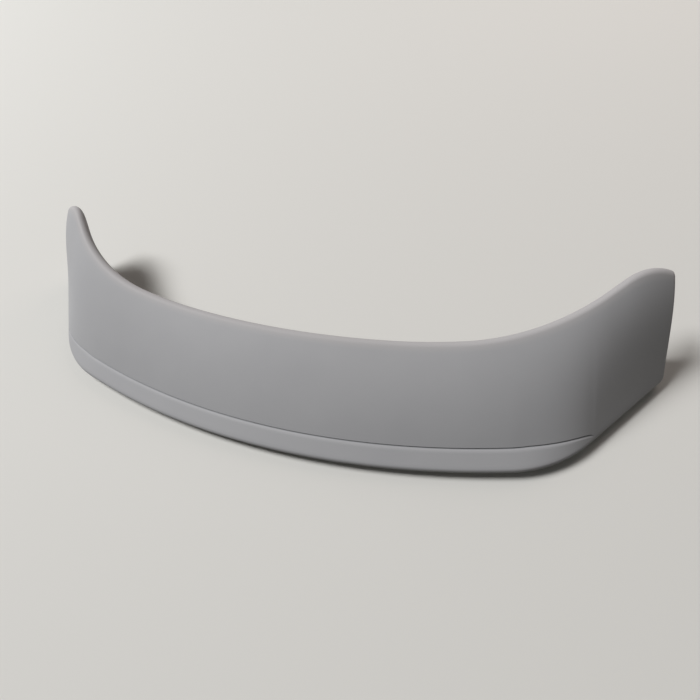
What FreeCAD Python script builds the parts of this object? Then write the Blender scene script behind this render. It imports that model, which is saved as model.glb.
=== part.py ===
import FreeCAD, Part
import math
import os

# Rear spoiler: one moulding with a leaning blade, a lip under a shadow groove and two side horns.
# Millimetres. X runs across the car, Y from the lower rim towards the upper edge, Z up.
# The origin is the middle of the flat foot, on the mirror plane of the part.

# Lower rim seen from above: a shallow arc, a corner and a straight side
HALF_WIDTH = 634.5
RIM_ARC_RADIUS = 1525.0
RIM_CORNER_RADIUS = 211.0
RIM_SIDE_ANGLE = 52.5
RIM_SIDE_LENGTH = 184.4

# Upper edge seen from above, set back from the rim and drawn in at the ends
EDGE_SETBACK = 185.2
EDGE_DRAWN_IN = 42.1
EDGE_ARC_RADIUS = 1578.0
EDGE_CORNER_RADIUS = 366.0
EDGE_SIDE_ANGLE = 47.4
EDGE_SIDE_LENGTH = 129.0

# Height of the upper edge: level in the middle, rising outwards by a square law
EDGE_HEIGHT = 122.0
HORN_RISE = 60.1
HORN_START_X = 188.5

# Section through the blade
RIM_CLEARANCE = 9.0
RIM_RADIUS = 7.5
EDGE_RADIUS = 11.0
LIP_LENGTH = 31.5
LIP_SLOPE = 28.0
BACK_BEND = 11.0
FOOT_SETBACK = 19.0
FOOT_WIDTH = 28.0
FOOT_TRIM = 2.0

# Bend of the face at its lower and its upper end, in the middle and at the horn,
# and the shares of the half length between which the one turns into the other
FACE_LOW_BEND = 8.0
FACE_HIGH_BEND = 8.0
HORN_LOW_BEND = 1.0
HORN_HIGH_BEND = 12.0
BEND_START_SHARE = 0.50
BEND_END_SHARE = 0.88

# The lip runs out over the corner, between these shares of the half length
LIP_FULL_SHARE = 0.60
LIP_END_SHARE = 0.80
LIP_HOLD = 1.6
LIP_LEFT_OVER = 0.10

# Shadow groove between lip and blade
GROOVE_DEPTH = 4.0
GROOVE_RAMP = 4.5
GROOVE_OVERCUT = 6.0

# Horn: its upper edge droops towards the end, where corner and end face are rounded
DROOP = 43.9
DROOP_LENGTH = 96.5
TIP_RADIUS = 7.3
TIP_ANGLE = 120.0
RIM_TIP_RADIUS = 8.0
RIM_TIP_ANGLE = 60.0
END_RADIUS = 6.0
END_TAPER = 0.7

# Blind fixing holes in the foot, for thread inserts
HOLE_RADIUS = 2.5
HOLE_DEPTH = 20.0
HOLE_SHARES = (0.12, 0.50, 0.86)

# Number of sections along the middle, over the corner, along the side and round the tip
MIDDLE_STATIONS = 10
CORNER_STATIONS = 12
SIDE_STATIONS = 4
TIP_STATIONS = 9


class PlanLine:
    """Half of a line seen from above: a shallow arc, a tighter corner and a straight side."""

    def __init__(self, middle_y, half_width, arc_radius, corner_radius, side_angle, side_length):
        self.middle_y = middle_y
        self.half_width = half_width
        self.arc_radius = arc_radius
        self.corner_radius = corner_radius
        self.side_angle = math.radians(side_angle)
        side_width = side_length * math.cos(self.side_angle)
        arc_reach = half_width - side_width - corner_radius * math.sin(self.side_angle)
        self.arc_angle = math.asin(arc_reach / (arc_radius - corner_radius))
        self.arc_length = arc_radius * self.arc_angle
        self.corner_length = corner_radius * (self.side_angle - self.arc_angle)
        self.length = self.arc_length + self.corner_length + side_length

    def point(self, distance):
        """Point at a distance from the middle, measured along the line."""
        turn = min(distance, self.arc_length) / self.arc_radius
        x = self.arc_radius * math.sin(turn)
        y = self.middle_y + self.arc_radius * (1 - math.cos(turn))
        if distance > self.arc_length:
            rest = min(distance - self.arc_length, self.corner_length)
            turn = self.arc_angle + rest / self.corner_radius
            x += self.corner_radius * (math.sin(turn) - math.sin(self.arc_angle))
            y += self.corner_radius * (math.cos(self.arc_angle) - math.cos(turn))
        side = max(0.0, distance - self.arc_length - self.corner_length)
        x += side * math.cos(self.side_angle)
        y += side * math.sin(self.side_angle)
        return FreeCAD.Vector(x, y, 0)


RIM_Y = -FOOT_SETBACK - FOOT_WIDTH / 2
RIM = PlanLine(RIM_Y, HALF_WIDTH, RIM_ARC_RADIUS, RIM_CORNER_RADIUS,
               RIM_SIDE_ANGLE, RIM_SIDE_LENGTH)
EDGE = PlanLine(RIM_Y + EDGE_SETBACK, HALF_WIDTH - EDGE_DRAWN_IN, EDGE_ARC_RADIUS,
                EDGE_CORNER_RADIUS, EDGE_SIDE_ANGLE, EDGE_SIDE_LENGTH)


def direction(angle):
    """Unit vector in the section plane (x along the run, y up) at an angle in radians."""
    return FreeCAD.Vector(math.cos(angle), math.sin(angle), 0)


def face_normal(angle):
    """Outward normal of a face that climbs at an angle in radians."""
    return direction(angle + math.pi / 2)


def bent_middle(start, end, bend):
    """Middle point of an arc between two points that turns by the bend at each end."""
    chord = end - start
    slope = math.atan2(chord.y, chord.x)
    sagitta = chord.Length / 2 * math.tan(math.radians(bend) / 2)
    return (start + end) * 0.5 + face_normal(slope) * sagitta


def ease(run):
    """Smooth step from 0 to 1."""
    run = min(1.0, max(0.0, run))
    return run ** 2 * (3 - 2 * run)


def edge_height(x):
    """Height of the upper edge above the foot at a place across the car."""
    rise = max(0.0, x - HORN_START_X) / (EDGE.half_width - HORN_START_X)
    return EDGE_HEIGHT + HORN_RISE * rise ** 2


def lip_share(share):
    """1 where the lip has its full width, falling to 0 where it has run out at the corner."""
    run = (share - LIP_FULL_SHARE) / (LIP_END_SHARE - LIP_FULL_SHARE)
    return 1 - ease(max(0.0, run) ** LIP_HOLD)


def face_bend(share, middle, horn):
    """Bend at one end of the face in radians, easing from its value in the middle to that at the horn."""
    run = (share - BEND_START_SHARE) / (BEND_END_SHARE - BEND_START_SHARE)
    return math.radians(middle + (horn - middle) * ease(run))


def corner_drop(distance, radius, angle):
    """How far a rounded corner of the horn's end lies inside a sharp one."""
    angle = math.radians(angle)
    if distance >= radius / math.tan(angle / 2):
        return 0.0
    centre = radius / math.sin(angle)
    offset = distance - centre
    root = max(0.0, radius ** 2 - (offset * math.sin(angle)) ** 2)
    return centre - offset * math.cos(angle) - math.sqrt(root)


def tip_drop(distance):
    """How far the horn's upper edge lies below its rule, at a distance from the horn's end."""
    droop = DROOP * max(0.0, 1 - distance / DROOP_LENGTH) ** 2
    return droop + corner_drop(distance, TIP_RADIUS, TIP_ANGLE)


def end_size(distance):
    """Share of the full roundings that is left within the rounding of the horn's end."""
    rest = max(0.0, 1 - distance / END_RADIUS)
    return 1 - END_TAPER * (1 - math.sqrt(1 - rest ** 2))


class Section:
    """The blade's section at a share of the half length, in its own upright plane."""

    def __init__(self, share):
        self.side = math.copysign(1.0, share)
        share = abs(share)
        self.base = RIM.point(share * RIM.length)
        upper = EDGE.point(share * EDGE.length)
        distance = (1 - share) * EDGE.length
        height = edge_height(upper.x)
        run = (upper - self.base).Length
        kept = 1 - tip_drop(distance) / math.hypot(run, height)
        lift = corner_drop(distance, RIM_TIP_RADIUS, RIM_TIP_ANGLE) / math.hypot(run, height)
        self.run_direction = (upper - self.base).normalize()
        self.low_bend = face_bend(share, FACE_LOW_BEND, HORN_LOW_BEND)
        self.high_bend = face_bend(share, FACE_HIGH_BEND, HORN_HIGH_BEND)
        self.groove_share = lip_share(share)
        lip = LIP_LEFT_OVER + (1 - LIP_LEFT_OVER) * self.groove_share

        # Rounded rim at the bottom and rounded edge at the top
        rim_radius = RIM_RADIUS * end_size(distance)
        edge_radius = EDGE_RADIUS * end_size(distance)
        rim_centre = FreeCAD.Vector(RIM_RADIUS, RIM_CLEARANCE + RIM_RADIUS, 0)
        rim_centre += FreeCAD.Vector(run, height, 0) * lift
        edge_centre = FreeCAD.Vector(run * kept - EDGE_RADIUS, height * kept - EDGE_RADIUS, 0)

        # Lip, then the bent face above it
        reach = edge_centre - rim_centre
        steep = math.atan2(reach.y, reach.x) + self.low_bend
        self.slope = math.radians(LIP_SLOPE) * lip + steep * (1 - lip)
        self.lip_start = rim_centre + face_normal(self.slope) * rim_radius
        self.lip_end = self.lip_start + direction(self.slope) * LIP_LENGTH * lip
        to_edge = edge_centre - self.lip_end
        tangent = math.atan2(to_edge.y, to_edge.x) + math.asin(edge_radius / to_edge.Length)
        self.face_slope = tangent + self.low_bend
        edge_slope = tangent - self.high_bend
        self.face_end = edge_centre + face_normal(edge_slope) * edge_radius
        self.edge_middle = edge_centre + direction(edge_slope) * edge_radius
        self.back_start = edge_centre - face_normal(edge_slope) * edge_radius

        # Foot behind the rim, with a ledge that slopes up to the rim
        inset = RIM_RADIUS - rim_radius
        self.foot_front = FreeCAD.Vector(FOOT_SETBACK + inset, -FOOT_TRIM, 0)
        self.foot_back = FreeCAD.Vector(FOOT_SETBACK + FOOT_WIDTH - inset, -FOOT_TRIM, 0)
        self.rim_bottom = rim_centre - FreeCAD.Vector(0, rim_radius, 0)
        self.rim_middle = rim_centre + direction(self.slope / 2 + math.pi) * rim_radius

    def place(self, point):
        """Point of the part for a point of the section plane."""
        spot = self.base + self.run_direction * point.x
        return FreeCAD.Vector(self.side * spot.x, spot.y, point.y)

    def arc(self, start, middle, end):
        """Round edge through three points of the section plane."""
        return Part.Arc(self.place(start), self.place(middle), self.place(end)).toShape()

    def line(self, start, end):
        """Straight edge between two points of the section plane."""
        return Part.makeLine(self.place(start), self.place(end))

    def face(self):
        """Bent edge from the lip to the upper rounding."""
        third = (self.face_end - self.lip_end) / 3
        square = FreeCAD.Vector(-third.y, third.x, 0)
        low = self.lip_end + third + square * math.tan(self.low_bend)
        high = self.face_end - third + square * math.tan(self.high_bend)
        curve = Part.BezierCurve()
        curve.setPoles([self.place(spot) for spot in (self.lip_end, low, high, self.face_end)])
        return curve.toShape()

    def outline(self):
        """Closed wire round the section, starting at the rim."""
        back_middle = bent_middle(self.foot_back, self.back_start, BACK_BEND)
        return Part.Wire([
            self.arc(self.rim_bottom, self.rim_middle, self.lip_start),
            self.line(self.lip_start, self.lip_end),
            self.face(),
            self.arc(self.face_end, self.edge_middle, self.back_start),
            self.arc(self.back_start, back_middle, self.foot_back),
            self.line(self.foot_back, self.foot_front),
            self.line(self.foot_front, self.rim_bottom),
        ])

    def groove(self):
        """Closed wire of the cut for the groove, which leaves the face where the lip runs out."""
        reach = GROOVE_DEPTH + GROOVE_OVERCUT
        lift = face_normal(self.slope) * reach * (1 - self.groove_share) ** 3
        mouth = self.lip_end + lift
        root = mouth - face_normal(self.slope) * GROOVE_DEPTH
        low = root + (mouth - direction(self.slope) * GROOVE_RAMP - root) * 2
        high = root + face_normal(self.face_slope) * reach
        return Part.makePolygon([self.place(spot) for spot in (root, low, high, root)])


def spread(start, end, count):
    """Even steps from the start, without the end itself."""
    return [start + (end - start) * step / count for step in range(count)]


def groove_shares():
    """Places of the groove's sections on one half, up to where the lip has run out."""
    middle = spread(0.0, LIP_FULL_SHARE, MIDDLE_STATIONS)
    return middle + spread(LIP_FULL_SHARE, LIP_END_SHARE, CORNER_STATIONS) + [LIP_END_SHARE]


def body_shares():
    """Places of the blade's sections on one half, closer together round the horn's end."""
    tip_length = DROOP_LENGTH / EDGE.length
    side = spread(LIP_END_SHARE, 1 - tip_length, SIDE_STATIONS)
    turns = spread(0.0, math.pi / 2, TIP_STATIONS) + [math.pi / 2]
    tip = [1 - tip_length * (1 - math.cos(turn)) for turn in reversed(turns)]
    return groove_shares()[:-1] + side + tip


def both_halves(shares):
    """The shares of both halves in order, from one horn to the other."""
    return [-share for share in reversed(shares) if share > 0] + shares


def foot_trim():
    """Block below the foot, which cuts it flat."""
    width = 4 * HALF_WIDTH
    corner = FreeCAD.Vector(-width / 2, -width / 2, -width)
    return Part.makeBox(width, width, width, corner)


def fixing_hole(share, side):
    """Blind hole, straight up into the middle of the foot."""
    section = Section(share * side)
    spot = section.place((section.foot_front + section.foot_back) * 0.5)
    spot.z = 0
    return Part.makeCylinder(HOLE_RADIUS, HOLE_DEPTH, spot)


def spoiler_body():
    """The whole moulding."""
    blade = Part.makeLoft([Section(share).outline() for share in both_halves(body_shares())], True)
    groove = Part.makeLoft([Section(share).groove() for share in both_halves(groove_shares())], True)
    body = blade.cut(foot_trim()).cut(groove)
    for share in HOLE_SHARES:
        for side in (-1.0, 1.0):
            body = body.cut(fixing_hole(share, side))
    return body


os.makedirs("parts", exist_ok=True)
spoiler_body().exportStep("parts/spoiler_body.step")
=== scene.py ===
"""Rear spoiler in matt primer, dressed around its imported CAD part.

Metres and radians. X runs across the car, Y from the lower rim to the upper edge, Z up.
"""

import logging
import math
from dataclasses import asdict, dataclass, fields
from enum import Enum
from types import SimpleNamespace
from typing import Any, ClassVar, Iterable

import bpy
from mathutils import Matrix, Vector

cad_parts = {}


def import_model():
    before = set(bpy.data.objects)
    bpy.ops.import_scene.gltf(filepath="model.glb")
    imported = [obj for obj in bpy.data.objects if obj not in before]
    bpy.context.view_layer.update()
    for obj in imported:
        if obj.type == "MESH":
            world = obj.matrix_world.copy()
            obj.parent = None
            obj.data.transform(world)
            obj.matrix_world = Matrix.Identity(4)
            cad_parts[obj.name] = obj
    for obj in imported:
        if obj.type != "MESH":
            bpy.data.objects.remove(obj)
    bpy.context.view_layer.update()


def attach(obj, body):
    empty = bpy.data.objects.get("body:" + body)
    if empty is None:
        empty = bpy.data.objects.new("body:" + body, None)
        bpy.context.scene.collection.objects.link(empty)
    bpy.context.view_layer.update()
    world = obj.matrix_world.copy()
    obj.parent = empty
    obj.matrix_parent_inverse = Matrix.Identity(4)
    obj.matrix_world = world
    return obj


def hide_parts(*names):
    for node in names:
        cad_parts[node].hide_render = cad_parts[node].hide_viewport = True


LOG = logging.getLogger("rear_spoiler")

CAD_NODE = "spoiler_body"
CAD_BODY = "root"
MILLIMETRE = 0.001

# Attributes of the blade's mesh where its finish paints shade and warm light
GROOVE_SHADE_ATTRIBUTE = "groove_shade"
EDGE_LIGHT_ATTRIBUTE = "edge_warm_light"

# Sizes of a line seen from above, which the rim and the upper edge both have
PLAN_SIZES = ("y", "half_width", "arc_radius", "corner_radius", "side_angle", "side_length")

# Turn added to every step, so that the formula for an arc also holds on a straight line
LEAST_TURN = 1e-5


def linear(hex_colour: str) -> tuple[float, float, float, float]:
    """Turn an sRGB hex colour into linear light.

    Args:
        hex_colour: Colour such as "#c0c0c0".

    Returns:
        Red, green, blue and alpha, as a shader socket takes them.
    """
    parts = [int(hex_colour[place : place + 2], 16) / 255 for place in (1, 3, 5)]
    light = [part / 12.92 if part <= 0.04045 else ((part + 0.055) / 1.055) ** 2.4 for part in parts]
    return (light[0], light[1], light[2], 1.0)


def add_node(
    tree: bpy.types.NodeTree, kind: str, inputs: dict[Any, Any] | None = None, **settings: Any
) -> bpy.types.Node:
    """Add a node to a tree, with its settings, values and links.

    Args:
        tree: Tree that gets the node.
        kind: Blender's name for the node type.
        inputs: Value or linked socket for each input, by name or number.
        settings: Properties of the node.

    Returns:
        The new node.
    """
    node = tree.nodes.new(kind)
    for name, value in settings.items():
        setattr(node, name, value)
    for key, value in (inputs or {}).items():
        if isinstance(value, bpy.types.NodeSocket):
            tree.links.new(value, node.inputs[key])
        else:
            node.inputs[key].default_value = value
    return node


def socket_title(name: str) -> str:
    """Name of a socket for the name of a size."""
    return name.replace("_", " ").title()


class Field:
    """A number that varies over a surface: the output of a node, with arithmetic."""

    def __init__(self, tree: bpy.types.NodeTree, socket: bpy.types.NodeSocket) -> None:
        """Hold a socket and the tree that it belongs to."""
        self.tree = tree
        self.socket = socket

    def apply(
        self, operation: str, *others: "Field | float", first: "Field | float | None" = None
    ) -> "Field":
        """Use this number in a Math node.

        Args:
            operation: Name of the operation.
            others: Numbers that come after this one.
            first: Number that comes before this one, if there is one.

        Returns:
            The result as a new field.
        """
        numbers = [self, *others] if first is None else [first, self, *others]
        inputs = {place: getattr(number, "socket", number) for place, number in enumerate(numbers)}
        node = add_node(self.tree, "ShaderNodeMath", inputs, operation=operation)
        return Field(self.tree, node.outputs[0])

    def __add__(self, other: "Field | float") -> "Field":
        """Sum."""
        return self.apply("ADD", other)

    def __sub__(self, other: "Field | float") -> "Field":
        """Difference."""
        return self.apply("SUBTRACT", other)

    def __mul__(self, other: "Field | float") -> "Field":
        """Product."""
        return self.apply("MULTIPLY", other)

    def __truediv__(self, other: "Field | float") -> "Field":
        """Quotient."""
        return self.apply("DIVIDE", other)

    def __pow__(self, other: "Field | float") -> "Field":
        """Power."""
        return self.apply("POWER", other)

    def __rsub__(self, other: float) -> "Field":
        """Difference from a plain number."""
        return self.apply("SUBTRACT", first=other)

    __radd__ = __add__
    __rmul__ = __mul__

    def sin(self) -> "Field":
        """Sine."""
        return self.apply("SINE")

    def cos(self) -> "Field":
        """Cosine."""
        return self.apply("COSINE")

    def held(self, low: float = 0.0, high: float = 1.0) -> "Field":
        """The number held between two limits."""
        return self.apply("MAXIMUM", low).apply("MINIMUM", high)

    def ease(self) -> "Field":
        """Smooth step from 0 to 1."""
        run = self.held()
        return run * run * (3.0 - run * 2.0)


@dataclass(frozen=True)
class Spot:
    """A point or a way in a flat plane."""

    x: Field
    y: Field

    def __add__(self, other: "Spot") -> "Spot":
        """Point after a further way."""
        return Spot(self.x + other.x, self.y + other.y)

    def __sub__(self, other: "Spot") -> "Spot":
        """Way from another point to this one."""
        return Spot(self.x - other.x, self.y - other.y)

    def times(self, factor: Field | float) -> "Spot":
        """Way made longer or shorter."""
        return Spot(self.x * factor, self.y * factor)

    def length(self) -> Field:
        """Length of the way."""
        return (self.x * self.x + self.y * self.y).apply("SQRT")

    def angle(self) -> Field:
        """Heading of the way."""
        return self.y.apply("ARCTAN2", self.x)


def way(angle: Field) -> Spot:
    """Way of length 1 along a heading."""
    return Spot(angle.cos(), angle.sin())


def outward(angle: Field) -> Spot:
    """Way of length 1 square to a heading, to its left."""
    return Spot(angle.sin() * -1.0, angle.cos())


class Recipe:
    """A geometry node group whose named inputs are numbers and whose rest is formulas."""

    def __init__(self, name: str, inputs: Iterable[str]) -> None:
        """Start a group.

        Args:
            name: Name of the group.
            inputs: Names of its inputs.
        """
        self.tree = bpy.data.node_groups.new(name, "GeometryNodeTree")
        names = list(inputs)
        for item in names:
            self.tree.interface.new_socket(
                socket_title(item), in_out="INPUT", socket_type="NodeSocketFloat"
            )
        entry = add_node(self.tree, "NodeGroupInput")
        self.given = SimpleNamespace(
            **{item: Field(self.tree, entry.outputs[socket_title(item)]) for item in names}
        )

    def use(self, group: bpy.types.NodeTree, **inputs: Field | float) -> SimpleNamespace:
        """Use another group inside this one.

        Args:
            group: The group.
            inputs: Its inputs by name.

        Returns:
            Its outputs by name.
        """
        values = {socket_title(name): getattr(value, "socket", value) for name, value in inputs.items()}
        node = add_node(self.tree, "GeometryNodeGroup", values, node_tree=group)
        return SimpleNamespace(
            **{socket.name.lower(): Field(self.tree, socket) for socket in node.outputs}
        )

    def finish(self, **results: Field) -> bpy.types.NodeTree:
        """Give the group its outputs.

        Args:
            results: Fields by output name.

        Returns:
            The finished group.
        """
        for name in results:
            self.tree.interface.new_socket(
                socket_title(name), in_out="OUTPUT", socket_type="NodeSocketFloat"
            )
        links = {socket_title(name): field.socket for name, field in results.items()}
        add_node(self.tree, "NodeGroupOutput", links)
        return self.tree


class Stretch(Enum):
    """Stretches of the section in order round it, each with its number of mesh steps."""

    RIM_FRONT = ("rim_front", 5)
    LIP = ("lip", 6)
    GROOVE_RAMP = ("groove_ramp", 3)
    GROOVE_WALL = ("groove_wall", 2)
    FACE = ("face", 18)
    EDGE_FRONT = ("edge_front", 6)
    EDGE_BACK = ("edge_back", 6)
    BACK = ("back", 18)
    FOOT = ("foot", 5)
    LEDGE = ("ledge", 6)
    RIM_UNDER = ("rim_under", 5)

    @property
    def steps(self) -> int:
        """Number of mesh steps along the stretch."""
        return self.value[1]

    @property
    def start(self) -> float:
        """Share of the way round at which the stretch starts."""
        before = list(Stretch)[: list(Stretch).index(self)]
        return sum(stretch.steps for stretch in before) / Stretch.total()

    @property
    def end(self) -> float:
        """Share of the way round at which the stretch ends."""
        return self.start + self.steps / Stretch.total()

    @property
    def middle(self) -> float:
        """Share of the way round at which the stretch is half done."""
        return (self.start + self.end) / 2

    @staticmethod
    def total() -> int:
        """Number of mesh steps all the way round."""
        return sum(stretch.steps for stretch in Stretch)


@dataclass(frozen=True)
class BladeSizes:
    """Sizes of the blade, each an input of its node tree."""

    # Lower rim seen from above: a shallow arc, a corner and a straight side
    rim_y: float = -0.03298
    rim_half_width: float = 0.6338
    rim_arc_radius: float = 1.5255
    rim_corner_radius: float = 0.211
    rim_side_angle: float = math.radians(52.5)
    rim_side_length: float = 0.1842

    # Upper edge seen from above
    edge_y: float = 0.1522
    edge_half_width: float = 0.5924
    edge_arc_radius: float = 1.5775
    edge_corner_radius: float = 0.3657
    edge_side_angle: float = math.radians(47.4)
    edge_side_length: float = 0.129

    # Upper edge's height, and the droop and rounded corners at the horn's end
    edge_height: float = 0.1219
    horn_rise: float = 0.0601
    horn_start: float = 0.1885
    droop: float = 0.0439
    droop_length: float = 0.0966
    tip_radius: float = 0.0073
    tip_angle: float = math.radians(120.0)
    rim_tip_radius: float = 0.008
    rim_tip_angle: float = math.radians(60.0)
    end_radius: float = 0.008

    # Section through the blade
    rim_clearance: float = 0.009
    rim_radius: float = 0.0075
    edge_radius: float = 0.011
    lip_length: float = 0.0321
    lip_slope: float = math.radians(28.0)
    back_bend: float = math.radians(11.0)
    foot_setback: float = 0.0169
    foot_width: float = 0.032

    # Bend of the face at its lower and upper end, in the middle and at the horn
    face_low_bend: float = math.radians(8.0)
    face_high_bend: float = math.radians(8.0)
    horn_low_bend: float = math.radians(1.0)
    horn_high_bend: float = math.radians(12.0)
    bend_start_share: float = 0.50
    bend_end_share: float = 0.88

    # Where the lip runs out over the corner, and the groove above it
    lip_full_share: float = 0.602
    lip_end_share: float = 0.763
    lip_hold: float = 1.3
    lip_lying_share: float = 0.581
    lip_steep_share: float = 0.763
    groove_hold: float = 0.35
    groove_depth: float = 0.002
    groove_ramp: float = 0.0045


@dataclass(frozen=True)
class FixingHoles:
    """Blind holes in the foot for thread inserts, three to each side."""

    COUNT: ClassVar[int] = 6
    DRILL_SIDES: ClassVar[int] = 24

    inner_share: float = 0.12
    corner_share: float = 0.50
    horn_share: float = 0.86
    hole_radius: float = 0.0025
    hole_depth: float = 0.020

    def drills(
        self, recipe: Recipe, point_group: bpy.types.NodeTree, sizes: dict[str, Field]
    ) -> bpy.types.NodeSocket:
        """Lay out cylinders where the holes go.

        Args:
            recipe: Tree of the blade, which has the holes' sizes as inputs.
            point_group: Group for a point of the blade.
            sizes: The blade's sizes.

        Returns:
            Geometry of the cylinders.
        """
        tree, given = recipe.tree, recipe.given
        index = Field(tree, add_node(tree, "GeometryNodeInputIndex").outputs[0])
        pair = (index * 0.5).apply("FLOOR")
        side = (index - pair * 2.0) * 2.0 - 1.0
        past_inner = pair.apply("GREATER_THAN", 0.5)
        past_corner = pair.apply("GREATER_THAN", 1.5)
        share = given.inner_share + (given.corner_share - given.inner_share) * past_inner
        share = share + (given.horn_share - given.corner_share) * past_corner
        foot = recipe.use(point_group, share=share, around=Stretch.FOOT.middle, **sizes)
        place = add_node(tree, "ShaderNodeCombineXYZ", {0: (foot.x * side).socket, 1: foot.y.socket})
        points = add_node(
            tree, "GeometryNodePoints", {"Count": self.COUNT, "Position": place.outputs[0]}
        )

        # Each drill is twice as long as its hole, because its middle lies on the foot
        drill = add_node(
            tree,
            "GeometryNodeMeshCylinder",
            {
                "Vertices": self.DRILL_SIDES,
                "Radius": given.hole_radius.socket,
                "Depth": (given.hole_depth * 2.0).socket,
            },
        )
        instances = add_node(
            tree,
            "GeometryNodeInstanceOnPoints",
            {"Points": points.outputs[0], "Instance": drill.outputs[0]},
        )
        return add_node(tree, "GeometryNodeRealizeInstances", {0: instances.outputs[0]}).outputs[0]


@dataclass
class SpoilerBlade:
    """The moulding: a leaning blade with lip, groove, horns and a flat foot."""

    SETTINGS: ClassVar[tuple[str, ...]] = ("stations", "crowding", "weld", "sharp_angle")

    sizes: BladeSizes = BladeSizes()
    holes: FixingHoles = FixingHoles()
    stations: int = 361
    crowding: float = 1.6
    weld: float = 0.00002
    sharp_angle: float = math.radians(32.0)

    def step_group(self) -> bpy.types.NodeTree:
        """Group for one step along a line that may turn evenly.

        Returns:
            Group with the way covered so far as x and y.
        """
        names = ("walk", "start", "end", "length", "from_heading", "to_heading")
        recipe = Recipe("Turning Step", names)
        given = recipe.given
        share = ((given.walk - given.start) / (given.end - given.start)).held()
        half_turn = (given.to_heading - given.from_heading) * share * 0.5 + LEAST_TURN
        chord = given.length * share * half_turn.sin() / half_turn
        covered = way(given.from_heading + half_turn).times(chord)
        return recipe.finish(x=covered.x, y=covered.y)

    def plan_group(self, step: bpy.types.NodeTree) -> bpy.types.NodeTree:
        """Group for a line seen from above: arc, corner and straight side.

        Args:
            step: Group for one step along a line.

        Returns:
            Group with the point at a share of the line as x and y, and the line's length.
        """
        recipe = Recipe("Plan Line", ("share", *PLAN_SIZES))
        given = recipe.given
        side = way(given.side_angle)
        reach = given.half_width - given.side_length * side.x - given.corner_radius * side.y
        arc_angle = (reach / (given.arc_radius - given.corner_radius)).apply("ARCSINE")
        arc = given.arc_radius * arc_angle
        corner = given.corner_radius * (given.side_angle - arc_angle)
        length = arc + corner + given.side_length
        nothing = arc * 0.0
        headings = (
            (nothing, arc_angle),
            (arc_angle, given.side_angle),
            (given.side_angle, given.side_angle),
        )
        starts = (nothing, arc, arc + corner)
        lengths = (arc, corner, given.side_length)
        point = Spot(nothing, given.y)
        for start, part, (before, after) in zip(starts, lengths, headings):
            covered = recipe.use(
                step,
                walk=given.share * length,
                start=start,
                end=start + part,
                length=part,
                from_heading=before,
                to_heading=after,
            )
            point = point + Spot(covered.x, covered.y)
        return recipe.finish(x=point.x, y=point.y, length=length)

    def corner_drop(self, distance: Field, radius: Field, angle: Field) -> Field:
        """How far a rounded corner of the horn's end lies inside a sharp one.

        Args:
            distance: Distance from the horn's end.
            radius: Radius of the rounding.
            angle: Angle through which the rounding turns.

        Returns:
            The drop, 0 beyond the rounding.
        """
        turn = way(angle)
        centre = radius / turn.y
        offset = distance.apply("MINIMUM", radius / (angle * 0.5).apply("TANGENT")) - centre
        across = offset * turn.y
        root = (radius * radius - across * across).apply("MAXIMUM", 0.0).apply("SQRT")
        return centre - offset * turn.x - root

    def section_group(self, step: bpy.types.NodeTree, plan: bpy.types.NodeTree) -> bpy.types.NodeTree:
        """Group for a point of the blade.

        Args:
            step: Group for one step along a line.
            plan: Group for a line seen from above.

        Returns:
            Group with the point for a share of the half length and a share of the way round.
        """
        names = (size.name for size in fields(BladeSizes))
        recipe = Recipe("Blade Point", ("share", "around", *names))
        given = recipe.given
        rim, edge = (
            recipe.use(
                plan,
                share=given.share,
                **{size: getattr(given, f"{line}_{size}") for size in PLAN_SIZES},
            )
            for line in ("rim", "edge")
        )

        # Reach of the section at this share
        across = Spot(edge.x - rim.x, edge.y - rim.y)
        run = across.length()
        rise = (edge.x - given.horn_start).apply("MAXIMUM", 0.0)
        rise = rise / (given.edge_half_width - given.horn_start)
        height = given.edge_height + given.horn_rise * rise * rise
        full = Spot(run, height)
        left = (1.0 - given.share) * edge.length
        rest = (1.0 - left / given.droop_length).apply("MAXIMUM", 0.0)
        drop = given.droop * rest * rest + self.corner_drop(left, given.tip_radius, given.tip_angle)
        kept = full.times(1.0 - drop / full.length())
        rim_drop = self.corner_drop(left, given.rim_tip_radius, given.rim_tip_angle)
        lift = full.times(rim_drop / full.length())

        # How far the lip has run out here, how flat it lies and how far the face is bent
        lip_run = (given.share - given.lip_full_share) / (given.lip_end_share - given.lip_full_share)
        lip = (1.0 - lip_run.held() ** given.lip_hold).apply("SQRT")
        lie_range = given.lip_steep_share - given.lip_lying_share
        lying = 1.0 - ((given.share - given.lip_lying_share) / lie_range).ease()
        groove_share = (lip / given.groove_hold).ease()
        bend_range = given.bend_end_share - given.bend_start_share
        to_horn = ((given.share - given.bend_start_share) / bend_range).ease()
        low_bend = given.face_low_bend + (given.horn_low_bend - given.face_low_bend) * to_horn
        high_bend = given.face_high_bend + (given.horn_high_bend - given.face_high_bend) * to_horn

        # Centres of the roundings, then lip and face between them
        rim_centre = Spot(given.rim_radius, given.rim_clearance + given.rim_radius) + lift
        edge_centre = kept - Spot(given.edge_radius, given.edge_radius)
        steep = (edge_centre - rim_centre).angle() + low_bend
        slope = given.lip_slope * lying + steep * (1.0 - lying)
        lip_start = rim_centre + outward(slope).times(given.rim_radius)
        lip_length = given.lip_length * lip
        lip_end = lip_start + way(slope).times(lip_length)
        to_edge = edge_centre - lip_end
        tangent = to_edge.angle() + (given.edge_radius / to_edge.length()).apply("ARCSINE")
        edge_slope = tangent - high_bend
        face_end = edge_centre + outward(edge_slope).times(given.edge_radius)
        face = face_end - lip_end
        back_start = edge_centre - outward(edge_slope).times(given.edge_radius)

        # Groove: a ramp down from the lip and a wall up to the face
        depth = given.groove_depth * groove_share
        ramp_length = (given.groove_ramp * groove_share).apply("MINIMUM", lip_length)
        mouth = lip_end - way(slope).times(ramp_length)
        root = lip_end - outward(slope).times(depth)
        ramp = root - mouth
        wall = lip_end - root

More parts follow.
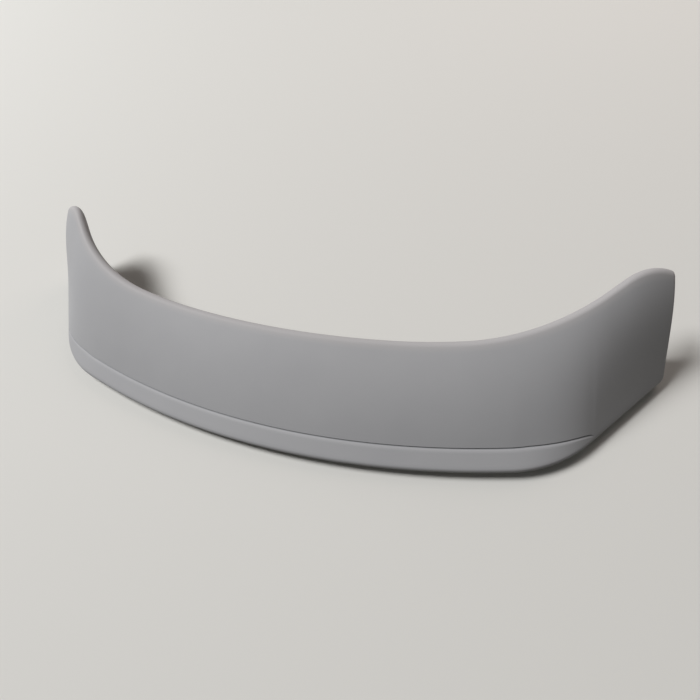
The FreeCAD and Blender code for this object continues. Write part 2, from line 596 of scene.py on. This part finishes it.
        # Back, flat foot and ledge
        nothing = slope * 0.0
        foot_front = Spot(given.foot_setback, nothing)
        foot_back = Spot(given.foot_setback + given.foot_width, nothing)
        back = foot_back - back_start
        ledge = rim_centre - Spot(nothing, given.rim_radius) - foot_front

        # Headings and lengths of the stretches in order
        rim_turn = (slope + math.pi) * 0.5
        rim_length = given.rim_radius * (math.pi - slope) * 0.5
        edge_length = given.edge_radius * (math.pi / 2)
        square = edge_slope - math.pi / 2
        level = nothing + math.pi
        walks = {
            Stretch.RIM_FRONT: (rim_length, rim_turn, slope),
            Stretch.LIP: (lip_length - ramp_length, slope, slope),
            Stretch.GROOVE_RAMP: (ramp.length(), ramp.angle(), ramp.angle()),
            Stretch.GROOVE_WALL: (wall.length(), wall.angle(), wall.angle()),
            Stretch.EDGE_FRONT: (edge_length, edge_slope, square),
            Stretch.EDGE_BACK: (edge_length, square, square - math.pi / 2),
            Stretch.BACK: (
                back.length() * given.back_bend / given.back_bend.sin(),
                back.angle() - given.back_bend,
                back.angle() + given.back_bend,
            ),
            Stretch.FOOT: (given.foot_width, level, level),
            Stretch.LEDGE: (ledge.length(), ledge.angle(), ledge.angle()),
            Stretch.RIM_UNDER: (rim_length, level, rim_turn),
        }
        spot = rim_centre + outward(rim_turn).times(given.rim_radius)
        for stretch, (length, before, after) in walks.items():
            covered = recipe.use(
                step,
                walk=given.around,
                start=stretch.start,
                end=stretch.end,
                length=length,
                from_heading=before,
                to_heading=after,
            )
            spot = spot + Spot(covered.x, covered.y)

        # The face bows out from its chord by a cubic that has the two bends at its ends
        face_range = Stretch.FACE.end - Stretch.FACE.start
        climb = ((given.around - Stretch.FACE.start) / face_range).held()
        fall = 1.0 - climb
        bow = climb * fall * (fall * low_bend.apply("TANGENT") + climb * high_bend.apply("TANGENT"))
        spot = spot + face.times(climb) + Spot(face.y * -1.0, face.x).times(bow)
        place = Spot(rim.x, rim.y) + across.times(spot.x / run)
        return recipe.finish(x=place.x, y=place.y, z=spot.y, left=left, groove=groove_share)

    def tree(self, finish: bpy.types.Material) -> bpy.types.NodeTree:
        """Tree that lays a grid along and round the blade.

        Args:
            finish: Material of the blade.

        Returns:
            The tree, with the blade's sizes as inputs.
        """
        step = self.step_group()
        point_group = self.section_group(step, self.plan_group(step))
        names = [size.name for size in fields(BladeSizes)]
        hole_names = [size.name for size in fields(FixingHoles)]
        recipe = Recipe("Spoiler Blade", (*self.SETTINGS, *names, *hole_names))
        tree, given = recipe.tree, recipe.given
        sizes = {name: getattr(given, name) for name in names}

        # Grid: one way along the blade from horn to horn, the other way round the section
        grid = add_node(
            tree,
            "GeometryNodeMeshGrid",
            {
                "Size X": 2.0,
                "Size Y": 1.0,
                "Vertices X": given.stations.socket,
                "Vertices Y": Stretch.total() + 1,
            },
        )
        place = add_node(tree, "GeometryNodeInputPosition")
        parts = add_node(tree, "ShaderNodeSeparateXYZ", {0: place.outputs[0]})
        along = Field(tree, parts.outputs[0])
        around = Field(tree, parts.outputs[1]) + 0.5
        share = 1.0 - (1.0 - along.apply("ABSOLUTE")).held() ** given.crowding
        point = recipe.use(point_group, share=share, around=around, **sizes)
        held_around = around.held(Stretch.FACE.start, Stretch.BACK.end)
        ahead = recipe.use(point_group, share=share, around=held_around, **sizes)
        behind = recipe.use(point_group, share=share, around=1.0 - held_around, **sizes)

        # The horn's end is rounded: there the section closes in on the line midway between face and back
        rest = (1.0 - point.left / given.end_radius).held()
        kept = (1.0 - rest * rest).apply("SQRT")
        drawn = (1.0 - kept) * 0.5
        x = (point.x * kept + (ahead.x + behind.x) * drawn) * along.apply("SIGN")
        y = point.y * kept + (ahead.y + behind.y) * drawn
        z = (point.z * kept + (ahead.z + behind.z) * drawn).apply("MAXIMUM", 0.0)
        vector = add_node(tree, "ShaderNodeCombineXYZ", {0: x.socket, 1: y.socket, 2: z.socket})

        # Painted groove shade from one step before its wall, and painted warm light on the upper edge
        wall = Stretch.GROOVE_WALL
        one_step = 1 / Stretch.total()
        painted_groove_shade = self.inside(around, wall.start - one_step, wall.middle) * point.groove
        warm_edge_light = self.inside(around, Stretch.EDGE_FRONT.start, Stretch.EDGE_BACK.end)
        geometry = grid.outputs[0]
        for name, value in ((GROOVE_SHADE_ATTRIBUTE, painted_groove_shade), (EDGE_LIGHT_ATTRIBUTE, warm_edge_light)):
            stored = add_node(
                tree,
                "GeometryNodeStoreNamedAttribute",
                {"Geometry": geometry, "Name": name, "Value": value.socket},
                data_type="FLOAT",
                domain="POINT",
            )
            geometry = stored.outputs[0]

        placed = add_node(
            tree, "GeometryNodeSetPosition", {"Geometry": geometry, "Position": vector.outputs[0]}
        )
        welded = add_node(
            tree,
            "GeometryNodeMergeByDistance",
            {"Geometry": placed.outputs[0], "Distance": given.weld.socket},
        )
        drilled = add_node(
            tree,
            "GeometryNodeMeshBoolean",
            {"Mesh 1": welded.outputs[0], "Mesh 2": self.holes.drills(recipe, point_group, sizes)},
            operation="DIFFERENCE",
            solver="EXACT",
        )
        smooth = add_node(tree, "GeometryNodeSetShadeSmooth", {"Geometry": drilled.outputs[0]})
        angle = add_node(tree, "GeometryNodeInputMeshEdgeAngle")
        sharp = add_node(
            tree,
            "FunctionNodeCompare",
            {0: angle.outputs[0], 1: given.sharp_angle.socket},
            data_type="FLOAT",
            operation="GREATER_THAN",
        )
        creased = add_node(
            tree,
            "GeometryNodeSetShadeSmooth",
            {"Geometry": smooth.outputs[0], "Selection": sharp.outputs[0], "Shade Smooth": False},
            domain="EDGE",
        )
        realized = add_node(tree, "GeometryNodeRealizeInstances", {0: creased.outputs[0]})
        dressed = add_node(
            tree, "GeometryNodeSetMaterial", {"Geometry": realized.outputs[0], "Material": finish}
        )
        tree.interface.new_socket("Geometry", in_out="OUTPUT", socket_type="NodeSocketGeometry")
        add_node(tree, "NodeGroupOutput", {0: dressed.outputs[0]})
        return tree

    def inside(self, around: Field, start: float, end: float) -> Field:
        """1 from one share of the way round to another, with a quarter step to spare, and 0 elsewhere."""
        margin = 0.25 / Stretch.total()
        return around.apply("GREATER_THAN", start - margin) * around.apply("LESS_THAN", end + margin)

    def build(self, finish: bpy.types.Material) -> bpy.types.Object:
        """Make the blade's object.

        Args:
            finish: Material of the blade.

        Returns:
            The object, with a plain mesh in place.
        """
        tree = self.tree(finish)
        values = asdict(self.sizes) | asdict(self.holes)
        values |= {name: float(getattr(self, name)) for name in self.SETTINGS}
        return node_mesh("spoiler_moulding", tree, values)


def node_mesh(name: str, tree: bpy.types.NodeTree, values: dict[str, float]) -> bpy.types.Object:
    """Run a tree and keep its result as a plain mesh.

    Args:
        name: Name of the piece.
        tree: Geometry node tree.
        values: Its inputs by size name.

    Returns:
        Object with the result as its mesh and no modifier.
    """
    piece = bpy.data.objects.new(name, bpy.data.meshes.new(name))
    bpy.context.scene.collection.objects.link(piece)
    modifier = piece.modifiers.new(name, "NODES")
    modifier.node_group = tree
    identifiers = {
        item.name: item.identifier for item in tree.interface.items_tree if item.in_out == "INPUT"
    }
    for size, value in values.items():
        modifier[identifiers[socket_title(size)]] = value
    evaluated = piece.evaluated_get(bpy.context.evaluated_depsgraph_get())
    mesh = bpy.data.meshes.new_from_object(evaluated)
    piece.modifiers.remove(modifier)
    piece.data = mesh
    mesh.name = name
    return piece


@dataclass(frozen=True)
class FillerPrimer:
    """Sprayed two-pack filler primer, flatted by hand and left matt: soft, even and without gloss."""

    colour: str = "#b5b5b7"
    drift_colour: str = "#ababae"
    # Painted shade: the groove is drawn darker than the primer
    painted_groove_shade_colour: str = "#8f9093"
    # Painted light: the upper edge is drawn a little warmer, for the warm light that falls on it
    warm_edge_light_colour: str = "#b4b2b3"
    roughness: float = 0.62
    roughness_spread: float = 0.05
    refraction: float = 1.5
    specular: float = 0.35
    drift_mm: float = 140.0
    drift_grain: float = 0.55
    speck_mm: float = 5.0
    peel_mm: float = 3.0
    peel_height_mm: float = 0.2
    peel_strength: float = 0.12

    def build(self) -> bpy.types.Material:
        """Make the material.

        Returns:
            Material that reads Object coordinates and the blade's own attributes.
        """
        material = bpy.data.materials.new("matt_filler_primer")
        material.use_nodes = True
        tree = material.node_tree
        tree.nodes.clear()
        place = add_node(tree, "ShaderNodeTexCoord").outputs["Object"]

        # Slow drift of tone where the gun laid the coat thicker
        drift = add_node(
            tree,
            "ShaderNodeTexNoise",
            {
                "Vector": place,
                "Scale": 1 / (self.drift_mm * MILLIMETRE),
                "Detail": 3.0,
                "Roughness": self.drift_grain,
            },
        )
        tone = add_node(
            tree,
            "ShaderNodeMix",
            {0: drift.outputs[0], 6: linear(self.colour), 7: linear(self.drift_colour)},
            data_type="RGBA",
        )

        # Painted light: warm light painted on the upper edge, and painted shade in the groove
        painted_light_marks = {EDGE_LIGHT_ATTRIBUTE: self.warm_edge_light_colour, GROOVE_SHADE_ATTRIBUTE: self.painted_groove_shade_colour}
        for attribute, colour in painted_light_marks.items():
            marked = add_node(tree, "ShaderNodeAttribute", attribute_name=attribute)
            tone = add_node(
                tree,
                "ShaderNodeMix",
                {0: marked.outputs["Fac"], 6: tone.outputs[2], 7: linear(colour)},
                data_type="RGBA",
            )

        # Dust specks that settled in the wet coat, drawn coarser than real so that they show
        specks = add_node(
            tree,
            "ShaderNodeTexNoise",
            {"Vector": place, "Scale": 1 / (self.speck_mm * MILLIMETRE), "Detail": 2.0},
        )
        rough = add_node(
            tree,
            "ShaderNodeMapRange",
            {
                "Value": specks.outputs[0],
                "To Min": self.roughness - self.roughness_spread,
                "To Max": self.roughness + self.roughness_spread,
            },
        )

        # Orange peel of the sprayed coat, drawn coarser than real so that it shows
        peel = add_node(
            tree,
            "ShaderNodeTexNoise",
            {"Vector": place, "Scale": 1 / (self.peel_mm * MILLIMETRE), "Detail": 1.0},
        )
        bump = add_node(
            tree,
            "ShaderNodeBump",
            {
                "Strength": self.peel_strength,
                "Distance": self.peel_height_mm * MILLIMETRE,
                "Height": peel.outputs[0],
            },
        )
        shader = add_node(
            tree,
            "ShaderNodeBsdfPrincipled",
            {
                "Base Color": tone.outputs[2],
                "Roughness": rough.outputs[0],
                "IOR": self.refraction,
                "Specular IOR Level": self.specular,
                "Normal": bump.outputs[0],
            },
        )
        add_node(tree, "ShaderNodeOutputMaterial", {"Surface": shader.outputs[0]})
        return material


def seen_share(tree: bpy.types.NodeTree) -> bpy.types.NodeSocket:
    """1 where a surface is seen, in a mirror or through glass too, and 0 where it only gives light.

    Args:
        tree: Node tree of the surface's material or of the world.

    Returns:
        Socket with the share.
    """
    path = add_node(tree, "ShaderNodeLightPath")
    rays = [path.outputs[name] for name in ("Is Camera Ray", "Is Glossy Ray", "Is Transmission Ray")]
    share = rays[0]
    for ray in rays[1:]:
        share = add_node(tree, "ShaderNodeMath", {0: share, 1: ray}, operation="MAXIMUM").outputs[0]
    return share


@dataclass(frozen=True)
class StudioFloor:
    """Plain pale floor under the spoiler, which throws back less light than it shows."""

    colour: str = "#dddcd8"
    bounce_colour: str = "#75746f"
    roughness: float = 0.8
    radius: float = 7.0
    corners: int = 96

    def build(self) -> bpy.types.Object:
        """Make the floor.

        Returns:
            The floor.
        """
        corners = [
            (self.radius * math.cos(turn), self.radius * math.sin(turn), 0.0)
            for turn in (2 * math.pi * corner / self.corners for corner in range(self.corners))
        ]
        mesh = bpy.data.meshes.new("studio_floor")
        mesh.from_pydata(corners, [], [list(range(self.corners))])
        material = bpy.data.materials.new("painted_studio_floor")
        material.use_nodes = True
        tree = material.node_tree
        tone = add_node(
            tree,
            "ShaderNodeMix",
            {0: seen_share(tree), 6: linear(self.bounce_colour), 7: linear(self.colour)},
            data_type="RGBA",
        )
        shader = tree.nodes["Principled BSDF"]
        shader.inputs["Roughness"].default_value = self.roughness
        tree.links.new(tone.outputs[2], shader.inputs["Base Color"])
        mesh.materials.append(material)
        floor = bpy.data.objects.new("studio_floor", mesh)
        bpy.context.scene.collection.objects.link(floor)
        return floor


@dataclass(frozen=True)
class SoftLamp:
    """A square soft box."""

    name: str
    place: tuple[float, float, float]
    aim: tuple[float, float, float]
    size: float
    power: float
    colour: str = "#ffffff"

    def build(self) -> bpy.types.Object:
        """Make the lamp, turned to its aim.

        Returns:
            The lamp.
        """
        light = bpy.data.lights.new(self.name, "AREA")
        light.size = self.size
        light.energy = self.power
        light.color = linear(self.colour)[:3]
        lamp = bpy.data.objects.new(self.name, light)
        lamp.location = self.place
        lamp.rotation_euler = (Vector(self.aim) - Vector(self.place)).to_track_quat("-Z", "Y").to_euler()
        bpy.context.scene.collection.objects.link(lamp)
        return lamp


@dataclass(frozen=True)
class StudioCamera:
    """Camera above the right half of the spoiler, looking down and across it."""

    place: tuple[float, float, float] = (0.33146, -0.23275, 0.73247)
    yaw: float = 0.50312
    down: float = 0.97754
    roll: float = -0.25144
    lens: float = 23.142857
    sensor: float = 36.0
    nearest: float = 0.01

    def build(self) -> bpy.types.Object:
        """Make the scene's camera.

        Returns:
            The camera.
        """
        data = bpy.data.cameras.new("studio_camera")
        data.lens = self.lens
        data.sensor_width = self.sensor
        data.clip_start = self.nearest
        camera = bpy.data.objects.new("studio_camera", data)
        turn = Matrix.Rotation(self.yaw, 4, "Z") @ Matrix.Rotation(math.pi / 2 - self.down, 4, "X")
        camera.matrix_world = Matrix.Translation(self.place) @ turn @ Matrix.Rotation(self.roll, 4, "Z")
        bpy.context.scene.collection.objects.link(camera)
        bpy.context.scene.camera = camera
        return camera


@dataclass(frozen=True)
class Studio:
    """Floor, lamps, plain surroundings and camera."""

    surroundings: str = "#dddcd8"
    shown_strength: float = 0.85
    light_strength: float = 0.10
    aim: tuple[float, float, float] = (0.0, 0.1, 0.1)

    def lamps(self) -> list[SoftLamp]:
        """The lamps: a far key from the left, and a weak warm fill from behind.

        Returns:
            The lamps, key first.
        """
        key = SoftLamp("window_key", place=(-7.3, 1.0, 9.5), aim=self.aim, size=4.2, power=1330.0)
        fill = SoftLamp(
            "back_fill", place=(1.2, 2.6, 2.0), aim=self.aim, size=1.6, power=15.0, colour="#ffeee6"
        )
        return [key, fill]

    def build(self) -> None:
        """Make everything around the spoiler."""
        StudioFloor().build()
        for lamp in self.lamps():
            lamp.build()
        world = bpy.data.worlds.new("studio_surroundings")
        world.use_nodes = True
        tree = world.node_tree
        strength = add_node(
            tree,
            "ShaderNodeMapRange",
            {
                "Value": seen_share(tree),
                "To Min": self.light_strength,
                "To Max": self.shown_strength,
            },
        )
        background = tree.nodes["Background"]
        background.inputs["Color"].default_value = linear(self.surroundings)
        tree.links.new(strength.outputs[0], background.inputs["Strength"])
        bpy.context.scene.world = world
        bpy.context.scene.view_settings.view_transform = "Standard"
        StudioCamera().build()


def main() -> None:
    """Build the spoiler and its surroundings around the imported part."""
    logging.basicConfig(level=logging.INFO, format="%(message)s")
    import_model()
    Studio().build()
    LOG.info("studio in place")
    primer = FillerPrimer().build()
    moulding = SpoilerBlade().build(primer)
    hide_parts(CAD_NODE)
    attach(moulding, CAD_BODY)
    LOG.info("%s: %d faces", moulding.name, len(moulding.data.polygons))


if __name__ == "__main__":
    main()
